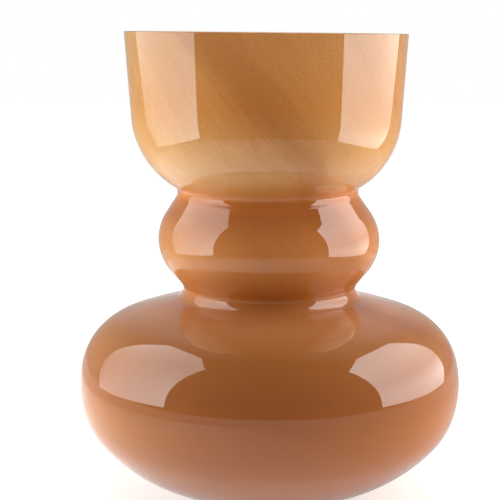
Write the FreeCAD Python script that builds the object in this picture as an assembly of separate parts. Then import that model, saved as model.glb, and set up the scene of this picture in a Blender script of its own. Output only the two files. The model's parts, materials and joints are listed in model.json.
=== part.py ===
import FreeCAD, Part
import math
import os

# A mouth-blown gourd vase: a straight-sided cup on a round bulb on a wide, squat belly.
# The glass is cased, so two layers lie one inside the other from the rim to the foot: a caramel
# overlay outside, and a paler opal lining that holds the water. Nothing on it moves.
# Millimetres, +Z up, origin at the centre of the foot, on the surface that the vase stands on.

# How the outline is written
# The outside is followed from the rim down to the foot. A heading is its direction in degrees from
# straight down: above zero it runs outwards, below zero it runs in towards the axis. Each stretch
# starts in the heading that the last one ended in. It is a straight line, or an arc that turns from
# one heading to the next, so the surface has no corner between the rim and the foot.

# Cup
rim_radius = 72.7
cup_height = 82.0
wall_heading = -4.0
bowl_heading = -57.5

# Neck, the groove between the cup and the bulb
neck_depth = 10.6
neck_fillet = 4.1

# Bulb
bulb_radius = 57.7
bulb_round = 25.0
bulb_top_heading = 34.0
bulb_foot_heading = -40.0

# Waist, the groove between the bulb and the belly
waist_depth = 12.4
waist_fillet = 5.7
waist_heading = 76.5

# Belly
belly_radius = 100.0
shoulder_heading = 71.0
shoulder_round = 33.5
flank_heading = 13.0
belly_round = 53.5
heel_heading = -17.0
heel_round = 37.0
underside_heading = -42.0

# Foot, a flat ring round a middle that is pushed up so that it can't rock
foot_radius = 34.0
foot_heading = -85.0
foot_edge_round = 3.0
punt_radius = 25.0
punt_rise = 3.5

# Glass
overlay_wall = 1.2
overlay_floor = 3.0
overlay_floor_round = 12.0
lining_wall = 2.3
lining_floor = 5.0
lining_floor_round = 25.0

# Rim, cut by hand a little out of square and then polished
rim_fall = 1.5
rim_polish = 0.5

# How far a cutting body runs past what it cuts
overrun = 10.0

# The radii at the bottoms of the two grooves
neck_radius = bulb_radius - neck_depth
waist_radius = bulb_radius - waist_depth


def sine(heading):
    return math.sin(math.radians(heading))


def cosine(heading):
    return math.cos(math.radians(heading))


def sideways(first, last):
    """How far an arc of radius 1 moves out or in as it turns from one heading to another."""
    return abs(cosine(first) - cosine(last))


def downwards(first, last):
    """How far an arc of radius 1 comes down as it turns from one heading to another."""
    return abs(sine(first) - sine(last))


def cup_sizes():
    """The straight wall's length and the bowl's radius, which together fill the cup's width and height."""
    width = rim_radius - neck_radius - neck_fillet * sideways(bowl_heading, 0)
    height = cup_height - neck_fillet * downwards(bowl_heading, 0)
    slope = downwards(wall_heading, bowl_heading) / sideways(wall_heading, bowl_heading)
    wall_length = (height - width * slope) / (cosine(wall_heading) + sine(wall_heading) * slope)
    bowl_radius = (width + wall_length * sine(wall_heading)) / sideways(wall_heading, bowl_heading)
    return wall_length, bowl_radius


def flank_length(groove_depth, fillet, heading):
    """The straight stretch between the bulb's round side and a groove of that depth."""
    return (groove_depth - (bulb_round + fillet) * sideways(heading, 0)) / abs(sine(heading))


def shoulder_radius():
    """The shoulder is a large arc from the waist to where the belly rounds over."""
    width = belly_radius - waist_radius - waist_fillet * sideways(0, waist_heading)
    width -= shoulder_round * sideways(shoulder_heading, flank_heading)
    width -= belly_round * sideways(flank_heading, 0)
    return width / sideways(waist_heading, shoulder_heading)


def underside_radius():
    """The underside is a large arc from the heel to the foot."""
    width = belly_radius - foot_radius - belly_round * sideways(0, heel_heading)
    width -= heel_round * sideways(heel_heading, underside_heading)
    return width / sideways(underside_heading, foot_heading)


def stretches():
    """The outside from rim to foot: a line is (length, heading), an arc (radius, first, last heading)."""
    wall_length, bowl_radius = cup_sizes()
    top_flank = flank_length(neck_depth, neck_fillet, bulb_top_heading)
    foot_flank = flank_length(waist_depth, waist_fillet, bulb_foot_heading)
    return [
        (wall_length, wall_heading),
        (bowl_radius, wall_heading, bowl_heading),
        (neck_fillet, bowl_heading, bulb_top_heading),
        (top_flank, bulb_top_heading),
        (bulb_round, bulb_top_heading, bulb_foot_heading),
        (foot_flank, bulb_foot_heading),
        (waist_fillet, bulb_foot_heading, waist_heading),
        (shoulder_radius(), waist_heading, shoulder_heading),
        (shoulder_round, shoulder_heading, flank_heading),
        (belly_round, flank_heading, heel_heading),
        (heel_round, heel_heading, underside_heading),
        (underside_radius(), underside_heading, foot_heading),
    ]


def turn(first, last):
    """1 where an arc turns outwards as it comes down, which makes a groove, and -1 where it swells."""
    return 1 if last > first else -1


def fall(stretch):
    """How far one stretch comes down."""
    if len(stretch) == 2:
        length, heading = stretch
        return length * cosine(heading)
    radius, first, last = stretch
    return radius * turn(first, last) * (sine(last) - sine(first))


height = sum(fall(stretch) for stretch in stretches())


def point(radius, level):
    """A point of the outline, which lies in the XZ plane."""
    return FreeCAD.Vector(radius, 0, level)


def facing(heading):
    """The direction that the outside faces where it runs in that heading."""
    return point(cosine(heading), sine(heading))


def line(start, length, heading):
    """A straight edge from a point, and the point where it ends."""
    end = start + point(length * sine(heading), -length * cosine(heading))
    return Part.LineSegment(start, end).toShape(), end


def arc(start, radius, first, last):
    """An arc from a point that turns from one heading to another, and the point where it ends."""
    reach = radius * turn(first, last)
    centre = start + facing(first) * reach
    middle = centre - facing((first + last) / 2) * reach
    end = centre - facing(last) * reach
    return Part.Arc(start, middle, end).toShape(), end


def side_edges(inset, floor, floor_round):
    """The edges of a surface that lies inset under the outside, from over the rim to a level floor."""
    here = point(rim_radius, height) - facing(wall_heading) * inset
    edges = []
    above, here = line(here, -overrun, wall_heading)
    path = stretches()
    path[0] = (path[0][0] + overrun, wall_heading)
    for stretch in path[:-1]:
        if len(stretch) == 2:
            edge, here = line(here, *stretch)
        else:
            radius, first, last = stretch
            edge, here = arc(here, radius + inset * turn(first, last), first, last)
        edges.append(edge)
    # The underside goes on until a smaller arc can take it to the floor, and ends level there
    radius, first, _ = path[-1]
    radius -= inset
    centre_level = here.z - radius * sine(first)
    last = -math.degrees(math.asin((centre_level - floor - floor_round) / (radius - floor_round)))
    edge, here = arc(here, radius, first, last)
    edges.append(edge)
    edge, here = arc(here, floor_round, last, -90)
    edges.append(edge)
    return edges, here


def floor_edges(here):
    """The edges of a floor from its outside in to the axis: a level ring, then a soft rise to the middle."""
    rise_heading = -90 - 2 * math.degrees(math.atan(punt_rise / punt_radius))
    rise_round = punt_radius / (2 * abs(cosine(rise_heading)))
    ring, here = line(here, here.x - punt_radius, -90)
    rise, here = arc(here, rise_round, -90, rise_heading)
    crown, here = arc(here, rise_round, rise_heading, -90)
    return [ring, rise, crown], here


def turned_body(inset, floor, floor_round):
    """Everything inside one surface of the vase, turned on the axis and running on over the rim."""
    side, here = side_edges(inset, floor, floor_round)
    base, here = floor_edges(here)
    start = side[0].Vertexes[0].Point
    middle = point(0, here.z)
    top = point(0, start.z)
    axis = Part.LineSegment(middle, top).toShape()
    lid = Part.LineSegment(top, start).toShape()
    outline = Part.Wire(side + base + [axis, lid])
    return Part.Face(outline).revolve(FreeCAD.Vector(0, 0, 0), FreeCAD.Vector(0, 0, 1), 360)


def above_rim():
    """The space over the rim. Its lower face is the cut, which falls by rim_fall towards +X."""
    side = 2 * (rim_radius + overrun)
    block = Part.makeBox(side, side, 2 * overrun, FreeCAD.Vector(-side / 2, -side / 2, 0))
    slant = math.degrees(math.atan(rim_fall / (2 * rim_radius)))
    block.rotate(FreeCAD.Vector(0, 0, 0), FreeCAD.Vector(0, 1, 0), slant)
    block.translate(FreeCAD.Vector(0, 0, height))
    return block


def polished(layer, pick):
    """Rounds one edge of the cut rim: pick is max for its outer edge and min for its inner one."""
    flats = [face for face in layer.Faces if isinstance(face.Surface, Part.Plane)]
    rim = max(flats, key=lambda face: face.CenterOfMass.z)
    edge = pick(rim.Edges, key=lambda each: each.Length)
    return layer.makeFillet(rim_polish, [edge])


def caramel_overlay(outside, between):
    """The outer layer of caramel glass, which carries the foot."""
    return polished(outside.cut(between).cut(above_rim()), max)


def opal_lining(between, hollow):
    """The inner layer of opal glass, fused to the overlay along its whole outside."""
    return polished(between.cut(hollow).cut(above_rim()), min)


def main():
    outside = turned_body(0, 0, foot_edge_round)
    between = turned_body(overlay_wall, overlay_floor, overlay_floor_round)
    hollow = turned_body(overlay_wall + lining_wall, overlay_floor + lining_floor, lining_floor_round)
    layers = {
        "caramel_overlay": caramel_overlay(outside, between),
        "opal_lining": opal_lining(between, hollow),
    }
    os.makedirs("parts", exist_ok=True)
    for name, layer in layers.items():
        solid = layer.Solids[0]
        solid.exportStep(f"parts/{name}.step")
        print(name, "valid", solid.isValid(), "solids", len(layer.Solids), "volume", round(solid.Volume, 1))
    print("height", round(height, 2), "neck radius", round(neck_radius, 2), "waist radius", round(waist_radius, 2))
    print("straight wall and bowl radius", [round(size, 2) for size in cup_sizes()])
    print("shoulder radius", round(shoulder_radius(), 2), "underside radius", round(underside_radius(), 2))


main()
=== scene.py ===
# %% [markdown]
# # A gourd vase in cased glass
# This vase is blown by mouth. A bubble of opal glass is pushed into a cup of caramel glass, and the two
# are blown out together, so the wall is caramel outside and opal inside. The opal stops light from
# passing, which is why the vase looks solid and creamy where clear caramel glass would look like syrup.
# The frame holds both layers as solids. It is loaded first, because every piece made here has to sit
# where the frame says and ride on its body.

# %% Load the frame
import json
import math

import bmesh
import bpy
from mathutils import Matrix, Vector

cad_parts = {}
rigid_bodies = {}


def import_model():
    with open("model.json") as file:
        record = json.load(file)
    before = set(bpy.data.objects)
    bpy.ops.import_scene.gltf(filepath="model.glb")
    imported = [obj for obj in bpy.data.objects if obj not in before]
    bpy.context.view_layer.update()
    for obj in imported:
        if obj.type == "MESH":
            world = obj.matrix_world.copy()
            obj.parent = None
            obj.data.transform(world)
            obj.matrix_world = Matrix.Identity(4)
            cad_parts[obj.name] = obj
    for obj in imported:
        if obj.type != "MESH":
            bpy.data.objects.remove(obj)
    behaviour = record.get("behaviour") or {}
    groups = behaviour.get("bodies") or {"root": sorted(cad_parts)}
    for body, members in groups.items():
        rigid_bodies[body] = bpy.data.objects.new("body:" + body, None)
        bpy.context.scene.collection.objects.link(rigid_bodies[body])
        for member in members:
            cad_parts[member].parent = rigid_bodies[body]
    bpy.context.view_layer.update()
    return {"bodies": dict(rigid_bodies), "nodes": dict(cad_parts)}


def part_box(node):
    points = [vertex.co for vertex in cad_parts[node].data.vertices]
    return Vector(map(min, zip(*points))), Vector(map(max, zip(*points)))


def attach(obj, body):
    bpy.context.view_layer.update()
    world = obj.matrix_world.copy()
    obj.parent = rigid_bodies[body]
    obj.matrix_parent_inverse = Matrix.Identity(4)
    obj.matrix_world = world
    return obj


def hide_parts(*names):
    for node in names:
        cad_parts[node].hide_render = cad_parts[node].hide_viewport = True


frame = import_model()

body = sorted(frame["bodies"])[0]
print("nodes", sorted(frame["nodes"]), "on body", body)

# %% [markdown]
# ## One millimetre
# Glassmakers give sizes in millimetres, and Blender works in metres. The belly of this vase is 200 mm
# wide, so the width of its node tells how long a millimetre is in this frame. Writing every size with
# that unit keeps the scene right if the frame is ever made larger or smaller.

# %% Take the length of a millimetre from the belly
belly_width_in_mm = 200
node_low, node_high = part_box("caramel_overlay")
mm = (node_high.x - node_low.x) / belly_width_in_mm
print("one millimetre is", round(mm * 1000, 4), "thousandths of a metre")

# %% [markdown]
# ## The outline
# Everything on this vase is turned, so one line from the rim down to the foot holds its whole shape. It
# could be a list of points under a smoothing modifier, but glass hangs in true arcs, and a highlight
# shows at once where a curve has been guessed. So the outline is a chain of straight runs and arcs. A
# heading is the way it runs, in degrees from straight down: outwards is above zero and inwards is below.
# Each run starts in the heading that the last one ended in, so the surface has no corner.

# %% The runs of the outline, from the rim to the foot
# A straight run is its length and heading. An arc is its radius, and its first and last headings.
rim_radius = 72.7 * mm
rim_height = 239.61 * mm
cup_wall = (43.96 * mm, -4.0)
cup_bowl = (44.84 * mm, -4.0, -57.5)
neck = (4.1 * mm, -57.5, 34.0)
bulb_top = (10.06 * mm, 34.0)
bulb_side = (25.0 * mm, 34.0, -40.0)
bulb_foot = (8.12 * mm, -40.0)
waist = (5.7 * mm, -40.0, 76.5)
shoulder = (295.5 * mm, 76.5, 71.0)
shoulder_round = (33.5 * mm, 71.0, 13.0)
belly_side = (53.5 * mm, 13.0, -17.0)
heel = (37.0 * mm, -17.0, -42.0)
underside = (85.02 * mm, -42.0, -85.0)
side_runs = [cup_wall, cup_bowl, neck, bulb_top, bulb_side, bulb_foot, waist,
             shoulder, shoulder_round, belly_side, heel, underside]
print("the side has", len(side_runs), "runs")

# %% [markdown]
# ## A pen that draws the outline
# A bmesh can start from one vertex. Extruding that vertex and moving the copy draws a straight run, and
# spinning it round a centre draws an arc, so the two operators are all the pen that a turned shape
# needs. The centre of an arc lies square to the heading: outside the glass where the outline turns
# outwards, as in a groove, and inside it where the outline swells.

# %% Draw straight runs and arcs with one vertex
degrees_per_step = 2.0
level_inwards = -90
straight_up = 180


def along(heading):
    """The direction in which the outline runs, in the XZ plane."""
    return Vector((math.sin(math.radians(heading)), 0, -math.cos(math.radians(heading))))


def facing(heading):
    """The direction that the outside of the glass faces there."""
    return Vector((math.cos(math.radians(heading)), 0, math.sin(math.radians(heading))))


def draw_straight(pen, tip, length, heading):
    """Draws a straight run on from the tip, and returns the new tip."""
    tip = bmesh.ops.extrude_vert_indiv(pen, verts=[tip])["verts"][0]
    bmesh.ops.translate(pen, verts=[tip], vec=along(heading) * length)
    return tip


def draw_arc(pen, tip, radius, first, last):
    """Draws an arc on from the tip, turning from one heading to another, and returns the new tip."""
    centre = tip.co + facing(first) * math.copysign(radius, last - first)
    steps = max(1, round(abs(last - first) / degrees_per_step))
    drawn = bmesh.ops.spin(pen, geom=[tip], cent=centre, axis=(0, 1, 0), steps=steps,
                           angle=-math.radians(last - first))
    return drawn["geom_last"][0]


print("a quarter turn takes", round(90 / degrees_per_step), "steps")

# %% [markdown]
# ## Each surface of the wall
# The wall has three surfaces: the outside, the one where the two glasses are fused, and the inside that
# holds the water. They lie at even depths under each other, so the same runs draw all three. Only the
# radius of each arc changes, by the depth, as when a line is offset on paper. Low down the glass
# gathers and is thicker, so the inner surfaces leave the side sooner and end in a level floor. The
# middle of the floor is pushed up into a punt, which keeps the vase from rocking on it.

# %% Draw one surface, from the rim to the middle of the floor
punt_radius = 25.0 * mm
punt_rise = 3.5 * mm


def draw_side(pen, tip, depth, floor, floor_round):
    """Draws the side that lies at a depth under the outside, down to a floor at a height."""
    # The wall leans, so a surface under the outside is cut off higher or lower to end level with the rim
    length, heading = cup_wall
    corner = Vector((rim_radius, 0, rim_height)) - facing(heading) * depth
    over = (corner.z - rim_height) / math.cos(math.radians(heading))
    tip.co = corner + along(heading) * over
    tip = draw_straight(pen, tip, length - over, heading)
    for run in side_runs[1:-1]:
        if len(run) == 2:
            tip = draw_straight(pen, tip, *run)
        else:
            radius, first, last = run
            tip = draw_arc(pen, tip, radius + math.copysign(depth, last - first), first, last)
    # The underside goes on until a smaller arc can take it to the floor, and ends level there
    radius, first, _ = underside
    radius -= depth
    centre_height = tip.co.z - radius * math.sin(math.radians(first))
    last = -math.degrees(math.asin((centre_height - floor - floor_round) / (radius - floor_round)))
    tip = draw_arc(pen, tip, radius, first, last)
    return draw_arc(pen, tip, floor_round, last, level_inwards)


def draw_floor(pen, tip):
    """Draws the floor in to the axis: a level ring, and then the soft rise of the punt."""
    rise_heading = level_inwards - 2 * math.degrees(math.atan(punt_rise / punt_radius))
    rise_round = punt_radius / (2 * abs(math.cos(math.radians(rise_heading))))
    tip = draw_straight(pen, tip, tip.co.x - punt_radius, level_inwards)
    tip = draw_arc(pen, tip, rise_round, level_inwards, rise_heading)
    tip = draw_arc(pen, tip, rise_round, rise_heading, level_inwards)
    tip.co.x = 0


# Depth under the outside, height of the floor, and how round the floor's edge is
outside = (0, 0, 3 * mm)
fused = (1.2 * mm, 3 * mm, 12 * mm)
inside = (3.5 * mm, 8 * mm, 25 * mm)
print("the wall is", round(inside[0] / mm, 1), "mm thick and the floor", round(inside[1] / mm, 1), "mm")

# %% [markdown]
# ## From outline to glass
# A layer of glass lies between two of those surfaces. Its outline is both of them and the short edge
# that joins them at the rim, and one turn round the axis makes the layer. A spin slows as its mesh
# grows, so it goes an eighth of the way round. That eighth is copied and turned, then the quarter, then
# the half, and merging the doubles closes the seams between them.

# %% Turn an outline round the axis
steps_round = 176
first_turn = 1 / 8
close_enough = 0.01 * mm


def turn_round(pen):
    """Makes a closed shape of an outline, by a short spin and three copies that double it."""
    bmesh.ops.spin(pen, geom=pen.verts[:] + pen.edges[:], cent=(0, 0, 0), axis=(0, 0, 1),
                   angle=first_turn * 2 * math.pi, steps=round(first_turn * steps_round))
    for turn in (first_turn, 2 * first_turn, 4 * first_turn):
        copied = bmesh.ops.duplicate(pen, geom=pen.verts[:] + pen.edges[:] + pen.faces[:])["geom"]
        bmesh.ops.rotate(pen, verts=[part for part in copied if isinstance(part, bmesh.types.BMVert)],
                         cent=(0, 0, 0), matrix=Matrix.Rotation(turn * 2 * math.pi, 3, "Z"))
    bmesh.ops.remove_doubles(pen, verts=pen.verts, dist=close_enough)
    bmesh.ops.recalc_face_normals(pen, faces=pen.faces)


print("a turn takes", steps_round, "steps")

# %% [markdown]
# ## The rim
# A glassmaker cracks the cup off the blowing iron, grinds the rim flat and polishes its edge. Grinding
# by hand takes a little more off one side, so the rim's vertices slide down the wall by their share of
# 1.5 mm. A small bevel is the polish. It rounds the outer edge on the caramel layer and the inner edge
# on the opal one, and the line between the two glasses stays sharp.

# %% Turn a layer, grind its rim and polish it
rim_fall = 1.5 * mm
rim_polish = 0.5 * mm
polish_steps = 4


def grind(rim):
    """Slides the rim's vertices along the cup's wall, lower towards +X and higher towards -X."""
    for vert in rim:
        drop = rim_fall * vert.co.x / (2 * rim_radius)
        vert.co.xy *= 1 + drop * math.tan(math.radians(cup_wall[1])) / vert.co.xy.length
        vert.co.z -= drop


def finish_rim(pen, edge_radius):
    """Grinds the rim, and polishes the edge of it that has the given radius."""
    rim = {vert for vert in pen.verts if abs(vert.co.z - rim_height) < close_enough}
    polished = {vert for vert in rim if abs(vert.co.xy.length - edge_radius) < close_enough}
    edges = [edge for edge in pen.edges if len(rim.intersection(edge.verts)) == 2]
    for edge in edges:
        edge.smooth = len(polished.intersection(edge.verts)) > 0
    grind(rim)
    bmesh.ops.bevel(pen, geom=[edge for edge in edges if len(polished.intersection(edge.verts)) == 2],
                    offset=rim_polish, offset_type="OFFSET", segments=polish_steps, profile=0.5,
                    affect="EDGES", material=-1)


def turn_layer(outer, inner, pick):
    """A layer of glass between two surfaces. pick is max to polish its outer edge, min for its inner."""
    pen = bmesh.new()
    corners = [pen.verts.new(), pen.verts.new()]
    pen.edges.new(corners)
    for corner, surface in zip(corners, (outer, inner)):
        draw_floor(pen, draw_side(pen, corner, *surface))
    edge_radius = pick(corner.co.x for corner in corners)
    turn_round(pen)
    finish_rim(pen, edge_radius)
    for face in pen.faces:
        face.smooth = True
    return pen


overlay_pen = turn_layer(outside, fused, max)
lining_pen = turn_layer(fused, inside, min)
millilitre = 1000 * mm**3
for name, pen in (("overlay", overlay_pen), ("lining", lining_pen)):
    volume = pen.calc_volume(signed=True) / millilitre
    open_edges = sum(edge.is_boundary for edge in pen.edges)
    print(name, "faces", len(pen.faces), "volume", round(volume, 1), "ml, open edges", open_edges)

# %% [markdown]
# ## The lean
# A vase that is blown and turned by hand is never quite straight. This one was a little bent when it
# left the iron, so its cup stands almost two millimetres off the axis of its belly. Rotating the cup
# would break the wall at the neck. Moving every vertex sideways by an amount that grows softly with its
# height bends the glass the way it bent when it was warm.

# %% Lean the cup
lean = 1.9 * mm
lean_starts = 100 * mm
lean_ends = 215 * mm


def bend(pen):
    """Moves the glass towards -X, from nothing at the waist to the whole lean high on the cup."""
    for vert in pen.verts:
        share = min(max((vert.co.z - lean_starts) / (lean_ends - lean_starts), 0), 1)
        vert.co.x -= lean * share * share * (3 - 2 * share)


bend(overlay_pen)
bend(lining_pen)
print("the cup leans", round(lean / mm, 1), "mm")

# %% [markdown]
# ## Colours and nodes
# Colours are easiest to name as the hex values that a paint program shows, which are sRGB. Shaders add
# and multiply light, so they need linear values, and one function turns the first into the second. A
# second small function adds a node, sets its options and joins its sockets, which keeps each material
# below as a plain list of what the glass is made of.

# %% Turn hex colours to linear, and add nodes
def linear(hex_colour):
    """The linear colour, with alpha, of an sRGB hex value such as c08040."""
    tones = [int(hex_colour[start:start + 2], 16) / 255 for start in (0, 2, 4)]
    return [tone / 12.92 if tone <= 0.04045 else ((tone + 0.055) / 1.055) ** 2.4 for tone in tones] + [1]


def add_node(tree, kind, sockets=None, **options):
    """Adds a node to a tree. A socket is given a plain value, or the output that it is joined to."""
    node = tree.nodes.new("ShaderNode" + kind)
    for option, value in options.items():
        setattr(node, option, value)
    for socket, value in (sockets or {}).items():
        if isinstance(value, bpy.types.NodeSocket):
            tree.links.new(value, node.inputs[socket])
        else:
            node.inputs[socket].default_value = value
    return node


def new_material(name):
    """A material with an empty node tree, and that tree."""
    material = bpy.data.materials.new(name)
    material.use_nodes = True
    material.node_tree.nodes.clear()
    return material, material.node_tree


print("middle grey, 808080, gives", round(linear("808080")[0], 3), "of the light of white")

# %% [markdown]
# ## Caramel glass
# The overlay is fire-polished caramel glass over opal. Where the bubble was blown out thin, as in the
# cup, the opal shows through more and the colour is paler and yellower. Where it stayed thick, as in the
# bulb and the belly, it is a deeper red-brown. The difference is tenths of a millimetre, too little to
# model. It follows the height, so a ramp on the height gives the tint all round, and no picture has to
# be wrapped round the vase. The ramp also holds painted light and shade: its steps go darker where the
# creases lie in shade and paler where more light falls, so it is part glass and part painted light.

# %% Tint the glass by its height, with painted light and shade
# The tint at each height in millimetres, with painted light and shade in its steps
tint_and_painted_light_by_height = {0: "a15631", 25: "ab683f", 50: "a9622f", 70: "9b5b35", 90: "a36536",
                98: "b6784d", 110: "a95e27", 130: "bc7845", 150: "ad6839", 158: "c17139",
                164: "be8149", 172: "cc996c", 182: "cb945d", 205: "c28348", 240: "ba8654"}


def stepped_ramp(tree, measure, whole, levels):
    """A colour that passes through levels as a measure grows from 0 to the whole, where the last is."""
    share = add_node(tree, "Math", {0: measure, 1: whole}, operation="DIVIDE")
    ramp = add_node(tree, "ValToRGB", {"Fac": share.outputs["Value"]})
    stops = ramp.color_ramp.elements
    while len(stops) < len(levels):
        stops.new(0.5)
    # Moving a stop can change their order, so they are coloured after all of them have moved
    for stop, at in zip(stops, sorted(levels)):
        stop.position = at / max(levels)
    for stop, at in zip(stops, sorted(levels)):
        stop.color = levels[at]
    return ramp.outputs["Color"]


def tint_with_painted_light(tree, height):
    """The tint of the glass at a height, paler where it was blown out thin, with painted light and shade
    in it.
    """
    tints = {at: linear(tint) for at, tint in tint_and_painted_light_by_height.items()}
    return stepped_ramp(tree, height, max(tint_and_painted_light_by_height) * mm, tints)


print("the tint changes through", len(tint_and_painted_light_by_height), "heights")

# %% [markdown]
# ### The wide cord
# The gather was wound and turned as it was drawn, so its darker cords run down the glass in a long
# spiral. They could be painted, but a noise runs all round with no seam. It is stretched along the axis
# and then wrung, by turning its coordinates about the axis in step with the height. One wide cord comes
# down the front of the cup from upper left to lower right. In the wrung coordinates a cord is a straight
# band that stays at one angle round the axis. So the angle of a place, less the cord's own angle, times
# the cup's radius, is its distance from the cord.

# %% Wring the glass, and find the wide cord
# The twist is in radians for a length, and the cord's angle and its drift to the sides in radians. A
# noise is the width of its patches, how many times longer they are, and its detail.
cord_turn = 0.0105 / mm
cord_angle = 2.12
cord_width = 23 * mm
cord_drift = 0.22
drift_noise = (20 * mm, 3.0, 2.0)
noise_roughness = 0.55


def wrung(tree, place):
    """The same place, turned about the axis in step with its height, as glass is when it is wrung."""
    height = add_node(tree, "SeparateXYZ", {"Vector": place}).outputs["Z"]
    turn = add_node(tree, "Math", {0: height, 1: cord_turn}, operation="MULTIPLY").outputs["Value"]
    return add_node(tree, "VectorRotate", {"Vector": place, "Angle": turn},
                    rotation_type="Z_AXIS").outputs["Vector"]


def drawn_noise(tree, place, width, stretch, detail):
    """Noise whose patches are so wide, and longer along the axis by the stretch."""
    longer = add_node(tree, "Mapping", {"Vector": place, "Scale": (1, 1, 1 / stretch)}).outputs["Vector"]
    return add_node(tree, "TexNoise", {"Vector": longer, "Scale": 1 / width, "Detail": detail,
                                       "Roughness": noise_roughness}).outputs["Fac"]


def cord_amount(tree, place):
    """How much of the wide cord is at a place, from 0 to 1, with a ragged soft edge."""
    across = add_node(tree, "SeparateXYZ", {"Vector": place}).outputs
    front = add_node(tree, "Math", {0: across["Y"], 1: -1.0}, operation="MULTIPLY").outputs["Value"]
    angle = add_node(tree, "Math", {0: across["X"], 1: front}, operation="ARCTAN2").outputs["Value"]
    away = add_node(tree, "Math", {0: angle, 1: cord_angle}, operation="SUBTRACT").outputs["Value"]
    drift = add_node(tree, "MapRange", {"Value": drawn_noise(tree, place, *drift_noise),
                                        "To Min": -cord_drift, "To Max": cord_drift}).outputs["Result"]
    away = add_node(tree, "Math", {0: away, 1: drift}, operation="ADD").outputs["Value"]
    away = add_node(tree, "Math", {0: away}, operation="ABSOLUTE").outputs["Value"]
    return add_node(tree, "MapRange", {"Value": away, "From Max": cord_width / rim_radius,
                                       "To Min": 1.0, "To Max": 0.0},
                    interpolation_type="SMOOTHSTEP").outputs["Result"]


print("a cord makes one turn in", round(2 * math.pi / (cord_turn * mm)), "mm of height")

# %% [markdown]
# ### Streaks, lines and grain
# Finer cords run beside the wide one, as soft streaks and as thin lines. Each is the same stretched
# noise at another width. They show best in the cup, where the glass is thin, and hardly in the belly.
# Blown glass also holds seed, which is bubbles too small to show in the render, so its faint grain is
# drawn coarser, at half a millimetre.

# %% Darken the glass with patterns
cord_dark = "8c4c22"
cord_darkness = 0.42
# A noise, the values of it at which the pattern starts and is full, and how far that darkens the glass
streaks = ((24 * mm, 6.0, 3.0), (0.42, 0.75), 0.2)
lines = ((4 * mm, 14.0, 2.0), (0.5, 0.8), 0.16)
grain_size = 0.5 * mm
grain_detail = 1.0
grain_span = (0.4, 0.7)
grain_darkness = 0.34
# The glass is thick up to one height, where the patterns have a share of their strength, and thin from
# the other, where they have all of it
thick_to = 110 * mm
thin_from = 200 * mm
thick_share = 0.2


def darkened(tree, colour, amount, most):
    """A colour mixed towards the dark of a cord, by an amount from 0 to 1 and at most so far."""
    share = add_node(tree, "Math", {0: amount, 1: most}, operation="MULTIPLY").outputs["Value"]
    return add_node(tree, "Mix", {"Factor": share, "A": colour, "B": linear(cord_dark)},
                    data_type="RGBA").outputs["Result"]


def patterned(tree, colour, noise, span, thin, most):
    """A colour darkened where a noise is high, and less so where the glass is thick."""
    starts, full = span
    amount = add_node(tree, "MapRange", {"Value": noise, "From Min": starts, "From Max": full})
    amount = add_node(tree, "Math", {0: amount.outputs["Result"], 1: thin}, operation="MULTIPLY")
    return darkened(tree, colour, amount.outputs["Value"], most)


print("the grain is", round(grain_size / mm, 1), "mm")

# %% [markdown]
# ### The finish
# The whole outside keeps the shine of the fire. Only the ring that the vase stands on has been ground
# flat, which leaves it matt, so the roughness steps up at the very foot.

# %% Make the caramel glass
glass_ior = 1.5
polish_roughness = 0.03
ground_roughness = 0.35
ground_to = 0.1 * mm
polished_from = 0.3 * mm


def caramel_glass():
    """Cased caramel glass, fire-polished, with a ground foot."""
    material, tree = new_material("fire_polished_caramel_glass")
    place = add_node(tree, "TexCoord").outputs["Object"]
    height = add_node(tree, "SeparateXYZ", {"Vector": place}).outputs["Z"]
    spiral = wrung(tree, place)
    thin = add_node(tree, "MapRange", {"Value": height, "From Min": thick_to, "From Max": thin_from,
                                       "To Min": thick_share}).outputs["Result"]
    # The height tint carries painted light and shade as well as the glass's own colour
    colour = darkened(tree, tint_with_painted_light(tree, height), cord_amount(tree, spiral), cord_darkness)
    for noise, span, most in (streaks, lines):
        colour = patterned(tree, colour, drawn_noise(tree, spiral, *noise), span, thin, most)
    grain = add_node(tree, "TexNoise", {"Vector": place, "Scale": 1 / grain_size, "Detail": grain_detail})
    colour = patterned(tree, colour, grain.outputs["Fac"], grain_span, thin, grain_darkness)
    finish = add_node(tree, "MapRange", {"Value": height, "From Min": ground_to, "From Max": polished_from,
                                         "To Min": ground_roughness, "To Max": polish_roughness})
    glass = add_node(tree, "BsdfPrincipled", {"Base Color": colour, "Roughness": finish.outputs["Result"],
                                              "IOR": glass_ior})
    add_node(tree, "OutputMaterial", {"Surface": glass.outputs["BSDF"]})
    return material


caramel = caramel_glass()
print("material", caramel.name)

# %% [markdown]
# ## Opal glass
# The lining is opal glass, blown and never touched, so it has the same shine. Heat clouds opal glass
# unevenly, which shows inside the cup as soft paler and pinker patches. They are the same noise again,
# wrung as the cords are.

# %% Make the opal glass
opal_tint = "efdccc"
opal_pink = "e6c8ae"
cloud_noise = (30 * mm, 3.0, 3.0)
clouds_start = 0.35
clouds_full = 0.7


def opal_glass():
    """Opal glass, blown and glossy."""
    material, tree = new_material("blown_opal_glass")
    spiral = wrung(tree, add_node(tree, "TexCoord").outputs["Object"])
    clouds = add_node(tree, "MapRange", {"Value": drawn_noise(tree, spiral, *cloud_noise),
                                         "From Min": clouds_start, "From Max": clouds_full})
    colour = add_node(tree, "Mix", {"Factor": clouds.outputs["Result"], "A": linear(opal_tint),
                                    "B": linear(opal_pink)}, data_type="RGBA").outputs["Result"]
    glass = add_node(tree, "BsdfPrincipled", {"Base Color": colour, "Roughness": polish_roughness,
                                              "IOR": glass_ior})
    add_node(tree, "OutputMaterial", {"Surface": glass.outputs["BSDF"]})
    return material


opal = opal_glass()
print("material", opal.name)

# %% [markdown]
# ## Both layers in their places
# The meshes were drawn in the frame's own place, so each object stays at the origin. It stands for its
# node, keeps one slot for its glass, and rides on the one body of the vase.

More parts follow.
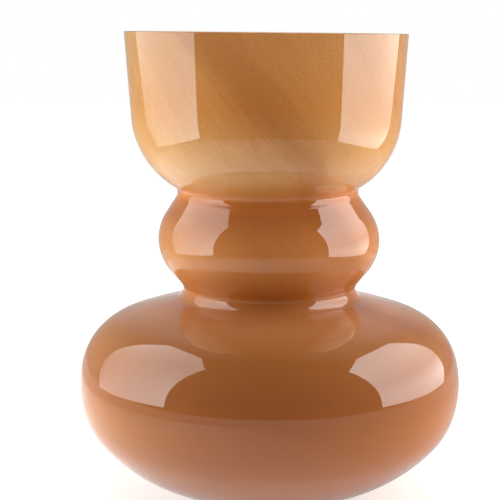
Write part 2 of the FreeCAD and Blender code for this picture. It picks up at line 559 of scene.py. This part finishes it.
# %% Put the glass in place of the frame's nodes
def link_object(name, data):
    """An object made of some data, linked into the scene."""
    thing = bpy.data.objects.new(name, data)
    bpy.context.scene.collection.objects.link(thing)
    return thing


def mesh_object(name, pen, material):
    """An object made of a pen's mesh, in one material."""
    mesh = bpy.data.meshes.new(name)
    pen.to_mesh(mesh)
    pen.free()
    mesh.materials.append(material)
    return link_object(name, mesh)


for name, pen, material, node, slot in (
        ("overlay_glass", overlay_pen, caramel, "caramel_overlay", "caramel_glass"),
        ("lining_glass", lining_pen, opal, "opal_lining", "opal_glass")):
    piece = mesh_object(name, pen, material)
    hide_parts(node)
    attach(piece, body)

# %% [markdown]
# ## The table
# Glass shows its room, so the room is half of how it looks. The table is matt white, and bright enough
# for the camera to see it as the white of the paper, with the shadow of the vase still on it. More lamps
# could make it as white, but they would bleach the glass, so the table glows. Its look in the reflections
# is painted: a painted shadow makes it dark close under the vase, it is brightest just outside that, and
# painted greys make it darker the farther off it is. Painted light also makes it brighter to the left, on
# the side of the stronger lamp.

# %% Make the table
# The table's width is in metres. One glow lights the glass, and the other two are what the camera sees
# near the vase and far from it.
table_size = 8.0
table_colour = "f0f0f0"
table_glow = 0.26
near_glow = 0.46
near_glow_to = 200 * mm
far_glow = 1.0
far_glow_from = 500 * mm
# The painted greys in the reflections at distances in millimetres, with a painted shadow close under the
# vase, and how much painted light they gain from side to side
table_painted_greys = {45: 0.4, 95: 0.93, 150: 0.93, 290: 0.76, 370: 0.66}
painted_left_light = 1.65
painted_left_light_to = -200 * mm
painted_right_dimming = 0.85
painted_right_dimming_from = 100 * mm


def stage_object(name, pen, material):
    """An object of the studio, which isn't part of the vase."""
    thing = mesh_object(name, pen, material)
    return thing


def grey(level):
    """A grey colour, with alpha, of a level of light."""
    return (level, level, level, 1)


def greys(levels):
    """The grey of each level of a ramp."""
    return {at: grey(level) for at, level in levels.items()}


def table_finish():
    """A matt white table, which shows in the glass as painted greys: a painted shadow close under the
    vase, white nearby and grey farther off.
    """
    material, tree = new_material("matt_white_table")
    path = add_node(tree, "LightPath").outputs
    place = add_node(tree, "TexCoord").outputs["Object"]
    distance = add_node(tree, "VectorMath", {"Vector": place}, operation="LENGTH").outputs["Value"]
    seen = add_node(tree, "MapRange", {"Value": distance, "From Min": near_glow_to,
                                       "From Max": far_glow_from, "To Min": near_glow,
                                       "To Max": far_glow}).outputs["Result"]
    glow = add_node(tree, "Mix", {"Factor": path["Is Camera Ray"], "A": table_glow, "B": seen})
    matt = add_node(tree, "BsdfDiffuse", {"Color": linear(table_colour)})
    light = add_node(tree, "Emission", {"Strength": glow.outputs["Result"]})
    table = add_node(tree, "AddShader", {0: matt.outputs["BSDF"], 1: light.outputs["Emission"]})
    # Painted light: the reflected table is brighter to the left and dimmer to the right
    aside = add_node(tree, "SeparateXYZ", {"Vector": place}).outputs["X"]
    gain = add_node(tree, "MapRange", {"Value": aside, "From Min": painted_left_light_to,
                                       "From Max": painted_right_dimming_from, "To Min": painted_left_light,
                                       "To Max": painted_right_dimming}).outputs["Result"]
    # The greys seen in the reflections are a painted shadow under the vase and painted light beyond it
    shine = stepped_ramp(tree, distance, max(table_painted_greys) * mm, greys(table_painted_greys))
    shine = add_node(tree, "Emission", {"Color": shine, "Strength": gain})
    both = add_node(tree, "MixShader", {"Fac": path["Is Glossy Ray"], 1: table.outputs["Shader"],
                                        2: shine.outputs["Emission"]})
    add_node(tree, "OutputMaterial", {"Surface": both.outputs["Shader"]})
    return material


pen = bmesh.new()
bmesh.ops.create_grid(pen, x_segments=1, y_segments=1, size=table_size / 2)
stage_object("table", pen, table_finish())
print("the table is", table_size, "m wide")

# %% [markdown]
# ## The walls of the room
# The long dark shapes between the highlights are the unlit front of the room, painted as black on a
# wall. Behind the vase the wall is white, and it greys towards the sides, which draws the pale line along
# the outline of the glass and the soft sheen on the far shoulders: painted reflections of the room. Flat
# walls would show their corners, so one round wall holds all of that. A pale painted band along its foot
# carries the light of the table on, up to the crisp line that runs round the belly. The wall is seen in
# the reflections only, and it takes no light from the vase.

# %% Stand the round wall
# The wall's painted greys of the room's light are at angles from straight behind the vase, in degrees
wall_radius = 362 * mm
wall_height = 1500 * mm
wall_painted_light_levels = {0: 1.0, 12: 0.9, 20: 0.55, 40: 0.36, 75: 0.34, 105: 0.0}
table_light_band_height = 44 * mm
table_light_band_level = 0.66


def seen_in_gloss_only(thing):
    """Hides an object from everything but the reflections."""
    thing.visible_camera = False
    thing.visible_diffuse = False
    thing.visible_transmission = False
    thing.visible_volume_scatter = False
    thing.visible_shadow = False


def wall_painted_light():
    """A wall of painted room light, white straight behind the vase and black in front, over a pale painted
    band of table light.
    """
    material, tree = new_material("room_light_wall")
    place = add_node(tree, "TexCoord").outputs["Object"]
    place = add_node(tree, "SeparateXYZ", {"Vector": place}).outputs
    aside = add_node(tree, "Math", {0: place["X"]}, operation="ABSOLUTE").outputs["Value"]
    angle = add_node(tree, "Math", {0: aside, 1: place["Y"]}, operation="ARCTAN2").outputs["Value"]
    # Painted greys of the room's light and shade, as the reflections show them
    paint = stepped_ramp(tree, angle, math.radians(max(wall_painted_light_levels)), greys(wall_painted_light_levels))
    above = add_node(tree, "Math", {0: place["Z"], 1: table_light_band_height}, operation="GREATER_THAN")
    paint = add_node(tree, "Mix", {"Factor": above.outputs["Value"], "A": grey(table_light_band_level),
                                   "B": paint}, data_type="RGBA").outputs["Result"]
    wall = add_node(tree, "Emission", {"Color": paint})
    add_node(tree, "OutputMaterial", {"Surface": wall.outputs["Emission"]})
    return material


pen = bmesh.new()
tip = draw_straight(pen, pen.verts.new((wall_radius, 0, 0)), wall_height, straight_up)
draw_straight(pen, tip, wall_radius, level_inwards)
turn_round(pen)
seen_in_gloss_only(stage_object("round_wall", pen, wall_painted_light()))
print("the wall stands", round(wall_radius / mm), "mm round the vase")

# %% [markdown]
# ## The white behind
# Behind everything is white. A wall lit by lamps could give it, but their light would spill on the
# glass. So it is the world, which the camera and the reflections see at full strength, and which gives
# almost no light of its own, because the lamps do that.

# %% Light the world
fill = 0.04
full_white = 1.0
world = bpy.data.worlds.new("white_wall")
bpy.context.scene.world = world
world.use_nodes = True
tree = world.node_tree
tree.nodes.clear()
path = add_node(tree, "LightPath").outputs
seen = add_node(tree, "Math", {0: path["Is Camera Ray"], 1: path["Is Glossy Ray"]}, operation="ADD")
seen = add_node(tree, "Math", {0: seen.outputs["Value"], 1: path["Is Transmission Ray"]},
                operation="ADD", use_clamp=True)
strength = add_node(tree, "MapRange", {"Value": seen.outputs["Value"], "To Min": fill,
                                       "To Max": full_white})
white = add_node(tree, "Background", {"Color": grey(full_white), "Strength": strength.outputs["Result"]})
add_node(tree, "OutputWorld", {"Surface": white.outputs["Background"]})
print("the white is seen at", full_white, "and lights at", fill)

# %% [markdown]
# ## Soft lamps
# Most of the light comes from the two sides, which is what models a round body: the sides are bright
# and the front stays deep. A large lamp overhead lights the shoulders, and one behind lights the back. A
# faint warm one high in front and a fainter one near the right side soften the shade. The lamps keep out
# of the reflections, where the two panels of the next step stand in for them. Their power is low, so
# that a colour comes out about as it is written.

# %% Hang the lamps
# Each lamp's place and size are in millimetres, and its power is in watts
lamp_aim = Vector((0, 0, 120)) * mm
lamp_places = {
    "left_lamp": ((-450, 70, 90), (450, 200), 3.9, "eaffff"),
    "right_lamp": ((450, 70, 110), (450, 200), 2.5, "f8fdfa"),
    "top_lamp": ((0, 60, 1000), (800, 800), 2.9, "ffffff"),
    "back_lamp": ((0, 600, 300), (300, 300), 1.0, "ffffff"),
    "front_lamp": ((-25, -260, 400), (260, 260), 0.68, "fff1dd"),
    "right_near_lamp": ((269, 4, 221), (330, 330), 0.36, "f3ffe6"),
}


def hang_lamp(name, place, size, watts, colour):
    """A soft lamp at a place in millimetres, turned to the middle of the vase."""
    light = bpy.data.lights.new(name, "AREA")
    light.shape = "RECTANGLE"
    light.size = size[0] * mm
    light.size_y = size[1] * mm
    light.energy = watts
    light.color = linear(colour)[:3]
    lamp = link_object(name, light)
    lamp.location = Vector(place) * mm
    lamp.rotation_euler = (lamp.location - lamp_aim).to_track_quat("Z", "Y").to_euler()
    lamp.visible_glossy = False
    lamp.visible_camera = False


for name, settings in lamp_places.items():
    hang_lamp(name, *settings)
print("lamps", list(lamp_places))

# %% [markdown]
# ## The bright panels in the reflections
# The two tall highlights are softboxes that stand close to the vase. An area lamp could show there, but
# its face would be even all over, so each is a panel that only the reflections see. The camera's side of
# a softbox is nearer to its lamp, so it is brighter there and falls off towards the back, and its light
# is uneven from foot to top. The corner nearest to the camera is cut off at the top.

# %% Stand the panels
# The near low, far low and near high corners in millimetres, where near is the camera's side
panel_corners = {
    "left_panel": [(-281, -205, 60), (-345, 97, 36), (-157, -153, 440)],
    "right_panel": [(287, -176, 56), (339, 159, 40), (199, -152, 386)],
}
# The light at shares of the height, along the near edge and along the far edge
near_shine = {
    "left_panel": {0.0: 5.2, 0.15: 6.2, 0.35: 5.6, 0.7: 3.6},
    "right_panel": {0.0: 5.4, 0.2: 6.2, 0.35: 5.5, 0.65: 6.4},
}
far_shine = {
    "left_panel": {0.0: 1.8, 0.15: 0.5, 0.35: 0.9, 0.7: 3.6},
    "right_panel": {0.0: 2.6, 0.15: 4.2, 0.35: 1.8, 0.65: 3.6},
}
softbox_light = 8.0
cut_along_share = 0.35
cut_down_share = 0.2


def edge_shine(tree, height, levels):
    """The grey along one edge of a panel, through its levels of light at shares of the height."""
    shares = {at: level / softbox_light for at, level in levels.items()}
    return stepped_ramp(tree, height, max(levels), greys(shares))


def panel_finish(name):
    """A glowing cloth that changes from its near edge to its far edge, and up its height."""
    material, tree = new_material(name + "_cloth")
    across = add_node(tree, "TexCoord").outputs["Generated"]
    across = add_node(tree, "SeparateXYZ", {"Vector": across}).outputs
    near_edge = edge_shine(tree, across["Z"], near_shine[name])
    far_edge = edge_shine(tree, across["Z"], far_shine[name])
    shine = add_node(tree, "Mix", {"Factor": across["Y"], "A": near_edge, "B": far_edge},
                     data_type="RGBA").outputs["Result"]
    cloth = add_node(tree, "Emission", {"Color": shine, "Strength": softbox_light})
    add_node(tree, "OutputMaterial", {"Surface": cloth.outputs["Emission"]})
    return material


def stand_panel(name, corners):
    """A panel from its near low, far low and near high corners, without its near high corner."""
    near_low, far_low, near_high = [Vector(corner) * mm for corner in corners]
    width = far_low - near_low
    height = near_high - near_low
    rim = [near_low, far_low, far_low + height, near_high + width * cut_along_share,
           near_high - height * cut_down_share]
    pen = bmesh.new()
    pen.faces.new([pen.verts.new(corner) for corner in rim])
    seen_in_gloss_only(stage_object(name, pen, panel_finish(name)))


for name, corners in panel_corners.items():
    stand_panel(name, corners)
print("panels", list(panel_corners))

# %% [markdown]
# ## The camera
# A long lens from just above the height of the rim keeps the outline almost true, and still shows a
# sliver of the opal inside.

# %% Set up the camera
camera_place = Vector((0, -719.64, 241.5)) * mm
camera_tilt = 9.058
camera_turn = 0.815
lens_length = 100
film_width = 36
nearest_seen = 10 * mm
lens = bpy.data.cameras.new("camera")
lens.lens = lens_length
lens.sensor_width = film_width
lens.clip_start = nearest_seen
camera = link_object("camera", lens)
camera.location = camera_place
camera.rotation_euler = (math.radians(90 - camera_tilt), 0, math.radians(camera_turn))
bpy.context.scene.camera = camera
bpy.context.scene.view_settings.view_transform = "Standard"
print("the camera stands", round(-camera_place.y / mm), "mm in front of the axis")
